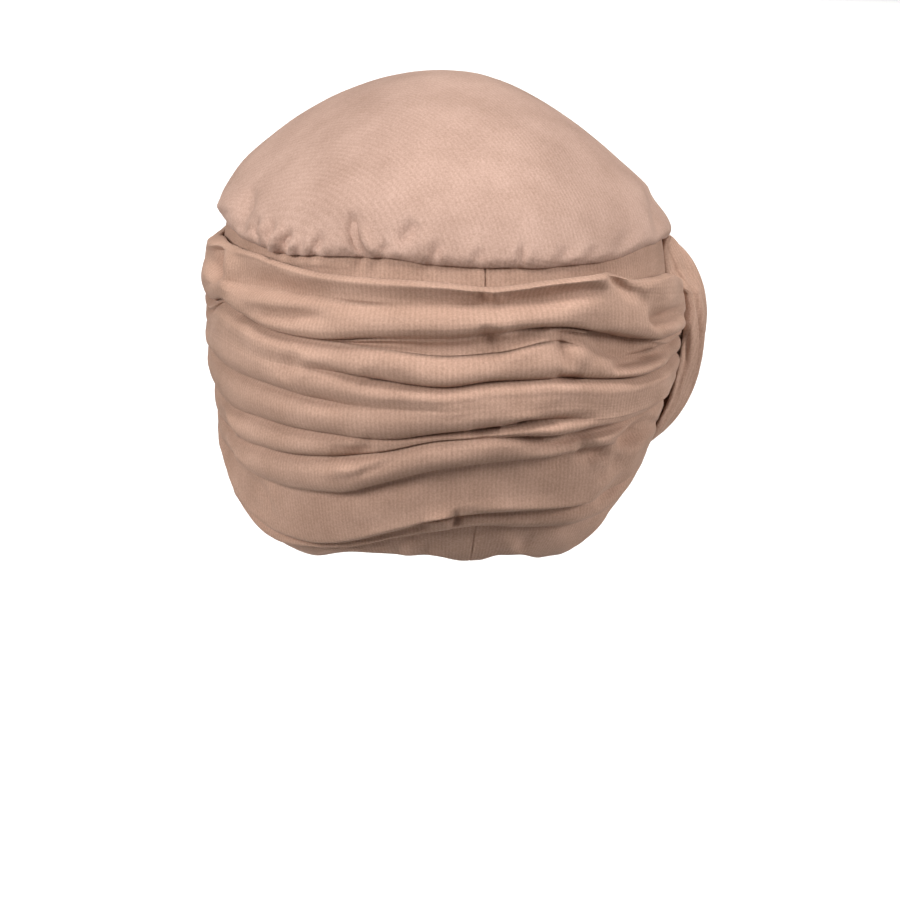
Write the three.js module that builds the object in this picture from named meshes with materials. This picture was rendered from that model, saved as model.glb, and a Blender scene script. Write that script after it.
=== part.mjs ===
// Turban headwrap: a jersey cap with a gathered crown and a side band, a wide scarf wound round
// the band in horizontal rolls, and a gathered knot band that pinches the scarf over the right ear.
// It keeps the form that it has on a head. All sizes are millimetres, +Z is up, the wearer looks
// along -Y, +X is the wearer's left, and the origin is the middle of the head at the hat line.

import * as THREE from 'three';

// Head that the cap fits, and how far the cap reaches above and below the hat line.
const HEAD_BREADTH = 159;
const HEAD_LENGTH = 194;
const BACK_SHARE = 0.51;
const CROWN_RISE = 89;
const NAPE_DROP = 84;
const HEAD_ROUNDNESS = 2.1;

// Cloth walls, and the clearance that is left between two pieces that lie on each other.
const BAND_WALL = 2.0;
const CROWN_WALL = 2.0;
const WRAP_WALL = 2.6;
const KNOT_WALL = 3.0;
const FIT_GAP = 0.4;

// Crown: how far the band runs up inside it, and the gathers along its lower edge.
const CROWN_LAP = 4;
const GATHER_COUNT = 20;
const GATHER_DEPTH = 0.9;
const GATHER_FADE = 32;

// Wrap: how far its fullest roll stands off the band, and how much of the band it leaves bare
// where it is pinched (above) and at the nape (below).
const WRAP_BULK = 9.5;
const BARE_ABOVE = 19;
const BARE_BELOW = 13;
const WRAP_EDGE = 3.4;

// Knot band: bearing of its middle, its size seen from the side, and how far it stands off.
const KNOT_BEARING = -98;
const KNOT_LEVEL = -13;
const KNOT_HEIGHT = 80;
const KNOT_WIDTH = 64;
const KNOT_PROUD = 22;
const KNOT_EDGE_DROP = 0.5;
const KNOT_TAPER = 0.55;
const KNOT_GAP = 1.5;
const KNOT_GATHERS = 4;
const KNOT_GATHER_DEPTH = 1.1;

// Facets: columns round the head, how much closer they stand by the knot band, and the rows and
// columns of the knot band.
const COLUMNS = 60;
const CLOSER_BY_KNOT = 0.35;
const KNOT_ROWS = 14;
const KNOT_COLUMNS = 12;

// A table has a line of column names and then one line for each section, station or fold.
function readTable(text) {
  const lines = text.trim().split('\n').map((line) => line.trim().split(/\s+/));
  const names = lines[0];
  return lines.slice(1).map((cells) => {
    const row = {};
    names.forEach((name, i) => {
      row[name] = i === 0 && Number.isNaN(Number(cells[i])) ? cells[i] : Number(cells[i]);
    });
    return row;
  });
}

// Stations round the head. Bearings are degrees from the middle of the back towards the left ear.
// seam is the height of the crown's lower edge as a share of CROWN_RISE, rim the depth of the
// band's lower edge as a share of NAPE_DROP. above and below are the shares of BARE_ABOVE and
// BARE_BELOW that the wrap leaves bare, and bulk the share of WRAP_BULK that its rolls have.
const STATIONS = readTable(`
  station     bearing  seam   rim   above  below  bulk
  rightFront  -145     0.43   0.41   0.40   0.70  0.95
  knot         -98     0.32   0.63   1.00   1.00  0.88
  rightBack    -60     0.32   0.84   0.68   0.75  0.72
  backRight    -35     0.305  0.99   0.44   1.00  0.90
  backMiddle   -12     0.295  0.98   0.28   0.90  0.95
  back          10     0.31   0.98   0.35   0.88  1.00
  backLeft      35     0.325  0.985  0.34   0.25  0.95
  leftBack      60     0.33   0.985  0.10   0.20  0.86
  left          90     0.405  0.80   0.33   0.25  0.76
  leftFront    135     0.47   0.48   0.42   0.50  0.82
  front        180     0.53   0.12   0.00   0.15  1.00
`);

// Folds of the wrap, from its top edge down. Each line is one crease: its place at each station
// as a share of the wrap's height there.
const CREASE_PLACE = readTable(`
  crease      rightFront knot rightBack backRight backMiddle back backLeft leftBack left leftFront front
  top          0.00  0.00  0.00  0.00  0.00  0.00  0.00  0.00  0.00  0.00  0.00
  underLip     0.11  0.08  0.06  0.06  0.08  0.09  0.09  0.12  0.13  0.13  0.14
  shoulder     0.27  0.23  0.23  0.23  0.18  0.21  0.22  0.22  0.25  0.27  0.29
  pocket       0.36  0.32  0.31  0.315 0.24  0.28  0.29  0.29  0.33  0.36  0.39
  hatLine      0.46  0.43  0.41  0.40  0.38  0.40  0.36  0.36  0.40  0.44  0.49
  earTop       0.55  0.54  0.50  0.48  0.47  0.49  0.44  0.43  0.47  0.54  0.59
  middle       0.66  0.66  0.61  0.58  0.56  0.585 0.565 0.555 0.68  0.69  0.71
  earLobe      0.75  0.75  0.67  0.63  0.63  0.66  0.69  0.66  0.80  0.79  0.80
  napeTop      0.83  0.83  0.73  0.68  0.70  0.73  0.78  0.775 0.87  0.87  0.88
  underLayer   0.93  0.93  0.86  0.88  0.91  0.925 0.96  0.965 0.95  0.95  0.95
  bottom       1.00  1.00  1.00  1.00  1.00  1.00  1.00  1.00  1.00  1.00  1.00
`);

// How deep each crease is cut at each station, as a share of the rolls' height there.
const CREASE_DEPTH = readTable(`
  crease      rightFront knot rightBack backRight backMiddle back backLeft leftBack left leftFront front
  top          0.50  0.50  0.55  0.55  0.60  0.60  0.60  0.60  0.66  0.66  0.50
  underLip     0.35  0.50  0.30  0.15  0.50  0.55  0.50  0.45  0.30  0.40  0.40
  shoulder     0.60  0.60  0.70  0.70  0.45  0.55  0.65  0.60  0.45  0.60  0.60
  pocket       0.35  0.50  0.65  0.55  0.25  0.30  0.15  0.10  0.10  0.30  0.30
  hatLine      0.60  0.60  0.75  0.75  0.75  0.75  0.45  0.10  0.05  0.40  0.55
  earTop       0.30  0.40  0.10  0.05  0.10  0.10  0.35  0.50  0.45  0.40  0.30
  middle       0.60  0.60  0.65  0.60  0.55  0.65  0.55  0.50  0.50  0.50  0.55
  earLobe      0.30  0.40  0.25  0.30  0.10  0.10  0.20  0.45  0.40  0.30  0.30
  napeTop      0.50  0.60  0.50  0.55  0.65  0.55  0.65  0.50  0.50  0.55  0.50
  underLayer   0.55  0.60  0.60  0.60  0.60  0.60  0.60  0.55  0.55  0.55  0.55
  bottom       0.65  0.65  0.65  0.65  0.65  0.65  0.65  0.65  0.65  0.65  0.65
`);

// Rolls between the creases, from the top: fullness as a share of the station's bulk.
const ROLLS = readTable(`
  roll       fullness
  lip        0.80
  shoulder   1.02
  valley     0.86
  temple     0.96
  hatLine    1.02
  back       1.05
  lobe       1.00
  fold       0.88
  nape       0.80
  underLayer 0.52
`);

// Level sections of the head below the crown's edge. level is a share of CROWN_RISE above the
// hat line and of NAPE_DROP below it, the others are shares of the head's half sizes. lean is how
// far the section sits to the left, as a share of half the breadth.
const HEAD_SECTIONS = readTable(`
  level   side   back   front  lean
  -1.10   0.64   0.54   0.68   0.04
  -0.95   0.77   0.68   0.78   0.04
  -0.77   0.865  0.80   0.87   0.035
  -0.50   0.935  0.925  0.96   0.02
  -0.24   0.975  0.985  0.99   0.005
   0.00   1.00   1.00   1.00   0.00
   0.16   0.995  1.00   0.995  0.00
   0.42   0.96   0.965  0.94   0.00
   0.60   0.92   0.92   0.88   0.00
`);

// Sections of the crown at steps of its arc, from its lower edge at 0 degrees to its top at 90:
// shares of its half sizes at the edge, and how far it slouches to the left.
const CROWN_SECTIONS = readTable(`
  arc   side   back   front  slouch
   0    1.00   1.00   1.00   0.00
  15    0.905  0.945  0.935  0.005
  30    0.75   0.825  0.81   0.015
  45    0.565  0.66   0.645  0.00
  60    0.355  0.45   0.44  -0.02
  75    0.17   0.225  0.22  -0.02
  90    0.00   0.00   0.00   0.00
`);

const DEGREES = 180 / Math.PI;

// Smooth curve through given points that doesn't swing past them.
function smoothValue(xs, ys, x) {
  const last = xs.length - 1;
  if (x <= xs[0]) return ys[0];
  if (x >= xs[last]) return ys[last];
  let i = 0;
  while (x > xs[i + 1]) i += 1;
  const slope = (k) => (ys[k + 1] - ys[k]) / (xs[k + 1] - xs[k]);
  const tangent = (k) => {
    if (k === 0 || k === last) return 0;
    const before = slope(k - 1);
    const after = slope(k);
    return before * after <= 0 ? 0 : 2 * before * after / (before + after);
  };
  const width = xs[i + 1] - xs[i];
  const t = (x - xs[i]) / width;
  const t2 = t * t;
  const t3 = t2 * t;
  return ys[i] * (2 * t3 - 3 * t2 + 1) + tangent(i) * width * (t3 - 2 * t2 + t)
    + ys[i + 1] * (3 * t2 - 2 * t3) + tangent(i + 1) * width * (t3 - t2);
}

// Value of a station column at any bearing. The stations repeat once on either side, so the
// curve closes smoothly round the head.
const TURNS = [-360, 0, 360];
const STATION_BEARINGS = TURNS.flatMap((turn) => STATIONS.map((row) => row.bearing + turn));

function aroundHead(values, bearing) {
  return smoothValue(STATION_BEARINGS, [...values, ...values, ...values], bearing);
}

const station = (name) => (bearing) => aroundHead(STATIONS.map((row) => row[name]), bearing);
const seamShare = station('seam');
const rimShare = station('rim');
const aboveShare = station('above');
const belowShare = station('below');
const bulkShare = station('bulk');

const seamHeight = (bearing) => CROWN_RISE * seamShare(bearing);
const rimHeight = (bearing) => -NAPE_DROP * rimShare(bearing);
const wrapTop = (bearing) => seamHeight(bearing) - BARE_ABOVE * aboveShare(bearing);
const wrapBottom = (bearing) => rimHeight(bearing) + BARE_BELOW * belowShare(bearing);

// Radius, at a bearing, of an oval with its own half sizes at the side, back and front.
function ovalRadius(bearing, side, back, front) {
  const s = Math.abs(Math.sin(bearing / DEGREES)) / side;
  const c = Math.cos(bearing / DEGREES);
  const e = Math.abs(c) / (c > 0 ? back : front);
  return (s ** HEAD_ROUNDNESS + e ** HEAD_ROUNDNESS) ** (-1 / HEAD_ROUNDNESS);
}

function headRadius(bearing, z) {
  const level = z > 0 ? z / CROWN_RISE : z / NAPE_DROP;
  const levels = HEAD_SECTIONS.map((row) => row.level);
  const share = (name) => smoothValue(levels, HEAD_SECTIONS.map((row) => row[name]), level);
  const back = HEAD_LENGTH * BACK_SHARE;
  const front = HEAD_LENGTH - back;
  const side = HEAD_BREADTH / 2;
  const oval = ovalRadius(bearing, share('side') * side, share('back') * back, share('front') * front);
  return oval + share('lean') * side * Math.sin(bearing / DEGREES);
}

function pointAt(bearing, radius, z) {
  const angle = bearing / DEGREES;
  return new THREE.Vector3(radius * Math.sin(angle), radius * Math.cos(angle), z);
}

// Bearing of a column. The columns stand closest on the knot band and widest opposite to it.
function bearingOf(column) {
  const away = 2 * column / COLUMNS - 1;
  return KNOT_BEARING + 180 * away * (1 - CLOSER_BY_KNOT * (1 - Math.abs(away)));
}

function ring(pointOf) {
  return Array.from({ length: COLUMNS }, (unused, column) => pointOf(bearingOf(column)));
}

// A closed mesh from its points and faces, turned so that its faces point out.
function closedMesh(name, points, faces, material) {
  let volume = 0;
  for (const [a, b, c] of faces) {
    volume += points[a].dot(new THREE.Vector3().crossVectors(points[b], points[c]));
  }
  const turned = volume < 0 ? faces.map(([a, b, c]) => [a, c, b]) : faces;
  const geometry = new THREE.BufferGeometry();
  geometry.setFromPoints(points);
  geometry.setIndex(turned.flat());
  geometry.computeVertexNormals();
  const mesh = new THREE.Mesh(geometry, material);
  mesh.name = name;
  return mesh;
}

// Faces between two rows of points, the rows closed round the head or open.
function stripFaces(startA, startB, count, closed) {
  const faces = [];
  for (let i = 0; i < (closed ? count : count - 1); i += 1) {
    const j = (i + 1) % count;
    faces.push([startA + i, startB + i, startB + j], [startA + i, startB + j, startA + j]);
  }
  return faces;
}

// A wall that runs round the head: its rings go down the outside and up the inside.
function wallRound(name, rings, material) {
  const faces = [];
  rings.forEach((unused, i) => {
    const next = (i + 1) % rings.length;
    faces.push(...stripFaces(i * COLUMNS, next * COLUMNS, COLUMNS, true));
  });
  return closedMesh(name, rings.flat(), faces, material);
}

// A dome wall: its rings go from the outer pole down to the edge and up to the inner pole.
function domeWall(name, outerPole, rings, innerPole, material) {
  const points = [outerPole, ...rings.flat(), innerPole];
  const faces = [];
  for (let i = 0; i + 1 < rings.length; i += 1) {
    faces.push(...stripFaces(1 + i * COLUMNS, 1 + (i + 1) * COLUMNS, COLUMNS, true));
  }
  const lastRing = 1 + (rings.length - 1) * COLUMNS;
  for (let i = 0; i < COLUMNS; i += 1) {
    const j = (i + 1) % COLUMNS;
    faces.push([0, 1 + i, 1 + j], [points.length - 1, lastRing + j, lastRing + i]);
  }
  return closedMesh(name, points, faces, material);
}

// Crown: the lower edge stands off the band by its wall and the clearance.
const bandOuter = (bearing, z) => headRadius(bearing, z) + BAND_WALL;

function crownEdgeRadius(bearing) {
  return bandOuter(bearing, seamHeight(bearing)) + FIT_GAP + CROWN_WALL;
}

function crownShare(name, arc) {
  return smoothValue(CROWN_SECTIONS.map((row) => row.arc), CROWN_SECTIONS.map((row) => row[name]), arc);
}

function gatherRipple(bearing, arc) {
  const fade = Math.max(0, 1 - arc / GATHER_FADE) ** 2;
  return GATHER_DEPTH * fade * (0.5 + 0.5 * Math.cos(GATHER_COUNT * bearing / DEGREES));
}

function crownRadius(bearing, arc) {
  const side = crownShare('side', arc);
  const back = crownShare('back', arc);
  const front = crownShare('front', arc);
  return crownEdgeRadius(bearing) * (side > 0 ? ovalRadius(bearing, side, back, front) : 0);
}

// How far the crown leans to the left at a step of its arc, and its radius with that lean.
const slouchAt = (arc) => crownShare('slouch', arc) * HEAD_BREADTH / 2;

function leaningRadius(bearing, arc) {
  return crownRadius(bearing, arc) + slouchAt(arc) * Math.sin(bearing / DEGREES);
}

// A point of the crown, depth millimetres in from its outer face.
function crownPoint(bearing, arc, depth) {
  const edge = seamHeight(bearing);
  const angle = arc / DEGREES;
  const radius = Math.max(0, crownRadius(bearing, arc) - depth * Math.cos(angle));
  const point = pointAt(bearing, radius, edge + (CROWN_RISE - edge) * Math.sin(angle) - depth * Math.sin(angle));
  point.x += slouchAt(arc);
  return point;
}

const cloth = (color, roughness) => new THREE.MeshStandardMaterial({ color, roughness, metalness: 0 });
const crownJersey = cloth('#b9917b', 0.9);
const bandJersey = cloth('#a5816b', 0.92);
const wrapJersey = cloth('#b08a73', 0.9);
const knotJersey = cloth('#a8836d', 0.9);

const CROWN_ARCS_OUT = [82, 70, 58, 47, 37, 28, 19, 11, 4, 0];
const CROWN_ARCS_IN = [0, 3, 7, 22, 42, 66];

function makeCrown() {
  const outside = CROWN_ARCS_OUT.map((arc) => ring((bearing) => {
    const point = crownPoint(bearing, arc, 0);
    return point.add(pointAt(bearing, gatherRipple(bearing, arc), 0));
  }));
  const inside = CROWN_ARCS_IN.map((arc) => ring((bearing) => crownPoint(bearing, arc, CROWN_WALL)));
  const top = new THREE.Vector3(0, 0, CROWN_RISE);
  const innerTop = new THREE.Vector3(0, 0, CROWN_RISE - CROWN_WALL);
  return domeWall('crown', top, [...outside, ...inside], innerTop, crownJersey);
}

// Side band: its outer face, which the crown laps over above the seam.
function bandFace(bearing, z) {
  const edge = seamHeight(bearing);
  const lapArc = Math.asin(Math.max(0, (z - edge) / (CROWN_RISE - edge))) * DEGREES;
  const roomInCrown = leaningRadius(bearing, lapArc) - CROWN_WALL - FIT_GAP;
  return z > edge ? Math.min(bandOuter(bearing, z), roomInCrown) : bandOuter(bearing, z);
}

const BAND_LEVELS = [0, 0.04, 0.3, 0.6, 0.85, 1];

function makeSideBand() {
  const heightAt = (bearing, level) => {
    const top = seamHeight(bearing) + CROWN_LAP;
    return top + level * (rimHeight(bearing) - top);
  };
  const face = (inset) => (level) => ring((bearing) => {
    const z = heightAt(bearing, level);
    return pointAt(bearing, bandFace(bearing, z) - inset, z);
  });
  const outside = BAND_LEVELS.map(face(0));
  const inside = [...BAND_LEVELS].reverse().map(face(BAND_WALL));
  return wallRound('side_band', [...outside, ...inside], bandJersey);
}

// What lies under the wrap and the knot band: the side band, or the crown where they reach it.
const SEAM_MARGIN = 2.5;

function underFace(bearing, z) {
  const edge = seamHeight(bearing);
  if (z < edge - SEAM_MARGIN) return bandOuter(bearing, z);
  const arc = Math.asin(Math.min(1, Math.max(0, (z - edge) / (CROWN_RISE - edge)))) * DEGREES;
  return leaningRadius(bearing, arc) + GATHER_DEPTH;
}

// Knot band: how far its outer face stands off what lies under it. across runs from -1 to 1
// round the head, along from -1 at its top end to 1 at its bottom end.
function knotRise(across, along) {
  const hump = 1 - KNOT_EDGE_DROP * Math.min(1, Math.abs(across)) ** 2.2;
  const arch = Math.sqrt(Math.max(0, 1 - along * along));
  return Math.max(FIT_GAP + KNOT_WALL, KNOT_PROUD * hump * arch);
}

function knotHalfWidth(along) {
  return KNOT_WIDTH / 2 * (1 - KNOT_TAPER * along * along);
}

function knotPoint(across, along, depth) {
  const z = KNOT_LEVEL - along * KNOT_HEIGHT / 2;
  const middle = underFace(KNOT_BEARING, z) + knotRise(0, along);
  const bearing = KNOT_BEARING + across * knotHalfWidth(along) / middle * DEGREES;
  const gather = KNOT_GATHER_DEPTH * (1 - along * along) * Math.cos(KNOT_GATHERS * Math.PI * across);
  const rise = knotRise(across, along) + (depth > 0 ? 0 : gather);
  return pointAt(bearing, underFace(bearing, z) + Math.max(FIT_GAP, rise - depth), z);
}

// Place of a bearing and height on the knot band: across is past -1 or 1 beyond its edges.
function placeOnKnot(bearing, z) {
  const along = Math.max(-1, Math.min(1, (KNOT_LEVEL - z) / (KNOT_HEIGHT / 2)));
  const middle = underFace(KNOT_BEARING, z) + knotRise(0, along);
  return { along, across: (bearing - KNOT_BEARING) / DEGREES * middle / knotHalfWidth(along) };
}

// Room that the knot band leaves for the wrap at a bearing and height. Past the band's edge the
// rolls stay pressed down for a little way and then round up to their full height.
const KNOT_PRESS = 0.3;
const KNOT_SHOULDER = 0.75;

function roomUnderKnot(bearing, z) {
  const { along, across } = placeOnKnot(bearing, z);
  const past = Math.abs(across) - 1;
  if (Math.abs(along) === 1 || past > KNOT_SHOULDER) return Infinity;
  const room = knotRise(across, along) - KNOT_WALL - KNOT_GAP;
  const release = Math.max(0, (past - KNOT_PRESS) / (KNOT_SHOULDER - KNOT_PRESS));
  return room + WRAP_BULK * release ** 2;
}

// The pinched cloth is bunched up solid inside the knot band: how full it is at a bearing and
// height, from 0 at the band's edge to 1 where it fills the band.
const BUNCH_EDGE = 0.4;
const BUNCH_FILL = 0.85;

function bunchedUnderKnot(bearing, z) {
  const { along, across } = placeOnKnot(bearing, z);
  if (Math.abs(along) === 1) return 0;
  return Math.max(0, Math.min(1, (1 - Math.abs(across)) / BUNCH_EDGE));
}

function makeKnotBand() {
  const columns = KNOT_COLUMNS + 1;
  const loopOf = (along) => {
    const across = Array.from({ length: columns }, (unused, i) => -1 + 2 * i / KNOT_COLUMNS);
    const outside = across.map((a) => knotPoint(a, along, 0));
    const inside = [...across].reverse().map((a) => knotPoint(a, along, KNOT_WALL));
    return [...outside, ...inside];
  };
  const loops = Array.from({ length: KNOT_ROWS + 1 }, (unused, i) => {
    return loopOf(-Math.cos(Math.PI * i / KNOT_ROWS));
  });
  const count = 2 * columns;
  const faces = [];
  for (let i = 0; i < KNOT_ROWS; i += 1) faces.push(...stripFaces(i * count, (i + 1) * count, count, true));
  const lastLoop = KNOT_ROWS * count;
  for (let i = 0; i < KNOT_COLUMNS; i += 1) {
    const across = count - 1 - i;
    faces.push([i, i + 1, across], [i + 1, across - 1, across]);
    faces.push([lastLoop + i, lastLoop + across, lastLoop + i + 1]);
    faces.push([lastLoop + i + 1, lastLoop + across, lastLoop + across - 1]);
  }
  return closedMesh('knot_band', loops.flat(), faces, knotJersey);
}

// Wrap: heights and stand-off of its creases at a bearing.
const creaseColumn = (row) => STATIONS.map((stop) => row[stop.station]);

function creaseHeight(index, bearing) {
  const share = aroundHead(creaseColumn(CREASE_PLACE[index]), bearing);
  return wrapTop(bearing) + share * (wrapBottom(bearing) - wrapTop(bearing));
}

const creaseDepth = (index, bearing) => aroundHead(creaseColumn(CREASE_DEPTH[index]), bearing);

// Stand-off of roll number index at part of its way down. It rises in a quarter round out of the
// crease above, is full in its middle and falls in a quarter round to the crease below.
function rollStandOff(index, part, bearing) {
  const bulk = WRAP_BULK * bulkShare(bearing);
  const upper = creaseDepth(index, bearing) * (1 - Math.sqrt(1 - (1 - Math.min(1, part * 2)) ** 2));
  const lower = creaseDepth(index + 1, bearing) * (1 - Math.sqrt(1 - (1 - Math.min(1, 2 - part * 2)) ** 2));
  const fullnessAbove = ROLLS[Math.max(0, index - 1)].fullness;
  const fullnessBelow = ROLLS[Math.min(ROLLS.length - 1, index + 1)].fullness;
  const own = ROLLS[index].fullness;
  const blend = Math.abs(part - 0.5) * 2;
  const neighbour = (part < 0.5 ? fullnessAbove : fullnessBelow);
  const fullness = own + (neighbour - own) * 0.5 * blend ** 2;
  return bulk * fullness * (1 - upper - lower);
}

// A point on the wrap's outer face, or set in by depth but never into what lies under it.
function wrapPoint(index, part, bearing, depth) {
  const above = creaseHeight(index, bearing);
  const z = above + part * (creaseHeight(index + 1, bearing) - above);
  const free = Math.max(FIT_GAP + WRAP_EDGE, rollStandOff(index, part, bearing));
  const room = roomUnderKnot(bearing, z);
  const pressed = Math.min(free, Math.max(FIT_GAP + WRAP_EDGE / 2, room));
  const bunched = bunchedUnderKnot(bearing, z);
  const filled = bunched > 0 ? Math.max(pressed, room * BUNCH_FILL) : pressed;
  const standOff = pressed + (filled - pressed) * bunched;
  const setIn = depth > 0 ? depth + bunched * KNOT_PROUD : 0;
  return pointAt(bearing, underFace(bearing, z) + Math.max(FIT_GAP, standOff - setIn), z);
}

const ROLL_PARTS_OUT = [0, 0.14, 0.5, 0.86];
const ROLL_PARTS_IN = [0, 0.5];

function makeWrap() {
  const last = ROLLS.length - 1;
  const rows = (parts) => ROLLS.flatMap((unused, index) => parts.map((part) => [index, part]));
  const outside = [...rows(ROLL_PARTS_OUT), [last, 1]];
  const inside = [...rows(ROLL_PARTS_IN), [last, 1]].reverse();
  const rings = (list, depth) => list.map(([index, part]) => {
    return ring((bearing) => wrapPoint(index, part, bearing, depth));
  });
  return wallRound('wrap', [...rings(outside, 0), ...rings(inside, WRAP_WALL)], wrapJersey);
}

const headwrap = new THREE.Group();
headwrap.add(makeCrown(), makeSideBand(), makeWrap(), makeKnotBand());

export default headwrap;
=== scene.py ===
# Jersey turban headwrap, dressed for its picture: a cap of side band and gathered crown, a scarf
# wound round it in rolls, and a gathered knot band over the wearer's right ear. Sizes are
# millimetres and become metres where a mesh is made. +Z is up, +X the wearer's left, and bearings
# are degrees from the middle of the back towards the left ear.

import math

import bpy
import numpy as np
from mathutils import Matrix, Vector, noise


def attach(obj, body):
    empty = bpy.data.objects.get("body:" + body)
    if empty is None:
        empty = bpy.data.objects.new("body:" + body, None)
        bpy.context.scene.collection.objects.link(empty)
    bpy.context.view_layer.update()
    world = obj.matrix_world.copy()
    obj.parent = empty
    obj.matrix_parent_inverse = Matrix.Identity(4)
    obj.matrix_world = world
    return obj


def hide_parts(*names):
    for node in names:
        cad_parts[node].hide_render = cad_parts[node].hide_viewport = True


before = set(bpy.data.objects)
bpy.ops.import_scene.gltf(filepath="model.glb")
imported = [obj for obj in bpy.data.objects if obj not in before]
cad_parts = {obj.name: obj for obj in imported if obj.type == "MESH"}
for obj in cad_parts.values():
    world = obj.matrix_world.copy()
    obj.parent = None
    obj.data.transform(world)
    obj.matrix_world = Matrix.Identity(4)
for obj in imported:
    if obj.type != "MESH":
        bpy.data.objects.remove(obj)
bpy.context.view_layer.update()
bpy.ops.object.select_all(action="DESELECT")

# Picture: the headwrap is seen from behind, a little from its left and from above, held at eye
# height in a white studio. The camera stands far off, so that near and far rolls keep their size.
VIEW_AZIMUTH = 170
VIEW_ELEVATION = 8
CAMERA_DISTANCE = 2200
PICTURE_PIXELS = 900
MM_A_PIXEL = 0.37
HAT_LINE_AT = (442, 310)


def picture_axes():
    a, e = math.radians(VIEW_AZIMUTH), math.radians(VIEW_ELEVATION)
    back = np.array([math.sin(a) * math.cos(e), -math.cos(a) * math.cos(e), math.sin(e)])
    right = np.array([math.cos(a), math.sin(a), 0.0])
    return back, right, np.cross(back, right)


TOWARDS_CAMERA, PICTURE_RIGHT, PICTURE_UP = picture_axes()
MIDDLE_OFFSET = [(PICTURE_PIXELS / 2 - at) * MM_A_PIXEL for at in HAT_LINE_AT]

looked_at = PICTURE_RIGHT * MIDDLE_OFFSET[0] - PICTURE_UP * MIDDLE_OFFSET[1]
stands_at = looked_at + TOWARDS_CAMERA * CAMERA_DISTANCE
bpy.ops.object.camera_add(location=Vector(stands_at) / 1000)
camera = bpy.context.object
camera.rotation_euler = Vector(TOWARDS_CAMERA).to_track_quat("Z", "Y").to_euler()
camera.data.angle = 2 * math.atan(PICTURE_PIXELS * MM_A_PIXEL / 2 / CAMERA_DISTANCE)
bpy.context.scene.camera = camera


# Softboxes: one above and two low at the sides, where each roll throws a shadow into the crease
# below it, and a broad lamp far behind that lifts the background to white.
def lamp(name, place, size, watts, tint, spread, aim=(0, 0, 0)):
    bpy.ops.object.light_add(type="AREA", location=Vector(place) / 1000)
    light = bpy.context.object
    light.name = name
    light.rotation_euler = (Vector(place) - Vector(aim)).to_track_quat("Z", "Y").to_euler()
    light.data.spread = math.radians(spread)
    light.data.shape = "DISK"
    light.data.size = size / 1000
    light.data.energy = watts
    light.data.color = tint


lamp("overhead_softbox", (120, 700, 1500), 900, 2.3, (1.0, 0.985, 0.97), spread=50)
lamp("left_softbox", (1600, 950, 620), 800, 8.2, (1.0, 0.99, 0.98), spread=90)
lamp("right_softbox", (-1600, 900, 560), 700, 6.4, (1.0, 0.99, 0.98), spread=90)
lamp("backdrop_light", (0, -8600, 1000), 13000, 620, (1.0, 1.0, 1.0), spread=60,
     aim=(0, -8600, 0))

# The room itself throws back only a little warm light, so that the creases stay dark.
world = bpy.data.worlds.new("white_studio")
world.use_nodes = True
room = world.node_tree.nodes["Background"]
room.inputs["Color"].default_value = (1.0, 0.92, 0.87, 1)
room.inputs["Strength"].default_value = 0.12
bpy.context.scene.world = world
bpy.context.scene.view_settings.view_transform = "Standard"


# Colours are written as they look on a screen, and a surface takes them as amounts of light.
def screen_colour(code):
    parts = [int(code[i:i + 2], 16) / 255 for i in (1, 3, 5)]
    light = [p / 12.92 if p <= 0.04045 else ((p + 0.055) / 1.055) ** 2.4 for p in parts]
    return (*light, 1)


# Floor: a wide sheet of white background paper, uncoated, so it is matt and shows no shine.
FLOOR_BELOW = 800
FLOOR_SIDE = 44000
bpy.ops.mesh.primitive_plane_add(size=FLOOR_SIDE / 1000, location=(0, 0, -FLOOR_BELOW / 1000))
floor = bpy.context.object
floor.name = "studio_floor"
bpy.ops.object.transform_apply(location=True)
floor_paper = bpy.data.materials.new("white_paper")
floor_paper.use_nodes = True
paper_surface = floor_paper.node_tree.nodes["Principled BSDF"]
paper_surface.inputs["Base Color"].default_value = screen_colour("#f4f4f4")
paper_surface.inputs["Roughness"].default_value = 0.9
floor.data.materials.append(floor_paper)


# Side band: the cap's upright wall, one strip of fine jersey closed by a seam at the middle of
# the back. It sits snug from forehead to nape, the crown is sewn to its upper edge, and its lower
# edge is turned up once and left a little wavy where the strip is stretched.
CAP_BREADTH = 159
CAP_LENGTH = 194
BACK_SHARE = 0.51
CAP_ROUNDNESS = 2.1
CROWN_RISE = 89
NAPE_DROP = 84
BAND_WALL = 2.0
BAND_LAP = 3.5
THINNED_BY_LAP = 1.2
HEM_THICKNESS = 0.35
WORN_BELOW, WORN_WITHIN = 40, 30
SEAM_BEARING = 1.1
SEAM_RADIUS = 90
SEAM_STITCH = 2.5
SEAM_WELT, SEAM_WELT_WIDTH = 0.4, 1.3
SEAM_GROOVE, SEAM_GROOVE_WIDTH = 1.3, 0.35
COLUMNS = 520


# A table has a line of column names and then one line for each section or bearing.
def read_table(text):
    names, *lines = [line.split() for line in text.strip().splitlines()]
    return {name: np.array(cells, float) for name, cells in zip(names, zip(*lines))}


def smooth(xs, ys, x):
    xs, ys = np.asarray(xs, float), np.asarray(ys, float)
    x = np.clip(x, xs[0], xs[-1])
    i = np.clip(np.searchsorted(xs, x, side="right") - 1, 0, len(xs) - 2)
    width = np.diff(xs)
    slope = np.diff(ys) / width
    tangent = np.zeros(len(xs))
    before, after = slope[:-1], slope[1:]
    both = before + after
    both[both == 0] = 1
    tangent[1:-1] = np.where(before * after > 0, 2 * before * after / both, 0)
    t = (x - xs[i]) / width[i]
    rise = 3 * t ** 2 - 2 * t ** 3
    return (ys[i] * (1 - rise) + ys[i + 1] * rise
            + tangent[i] * width[i] * (t ** 3 - 2 * t ** 2 + t)
            + tangent[i + 1] * width[i] * (t ** 3 - t ** 2))


def shares_at(table, key, at):
    return {name: smooth(table[key], column, at) for name, column in table.items()}


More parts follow.
